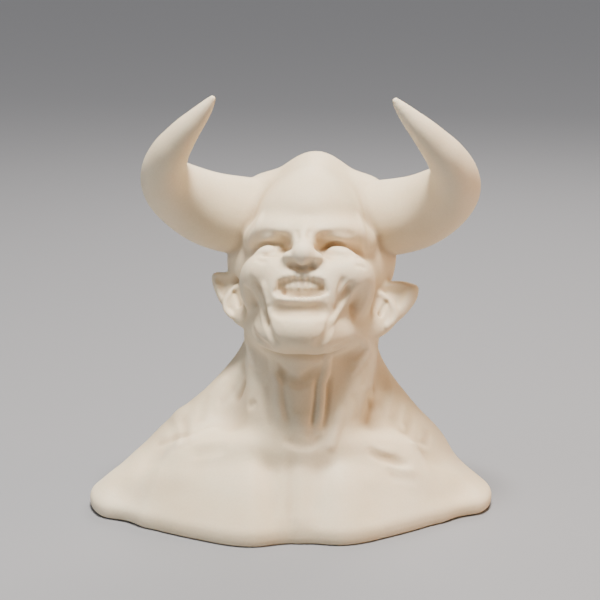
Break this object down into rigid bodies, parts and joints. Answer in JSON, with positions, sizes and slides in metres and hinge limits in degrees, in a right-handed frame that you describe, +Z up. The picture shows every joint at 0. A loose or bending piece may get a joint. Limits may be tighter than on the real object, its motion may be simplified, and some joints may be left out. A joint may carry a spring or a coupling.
{
  "type": "devil bust sculpture",
  "caption": "Bust of a laughing horned devil with its head thrown back, on a bull neck and a chest cut flat below.",
  "frame": {"origin": "centre of the bounding box's bottom, on the flat underside", "axes": "+Z up, the chest faces -Y, the figure's own left is at +X"},
  "size_m": [0.1378, 0.0822, 0.143],
  "materials": {
    "pale_resin": "unpainted matt cream cast resin"
  },
  "bodies": {
    "root": {"devil_bust": "pale_resin"}
  },
  "joints": []
}
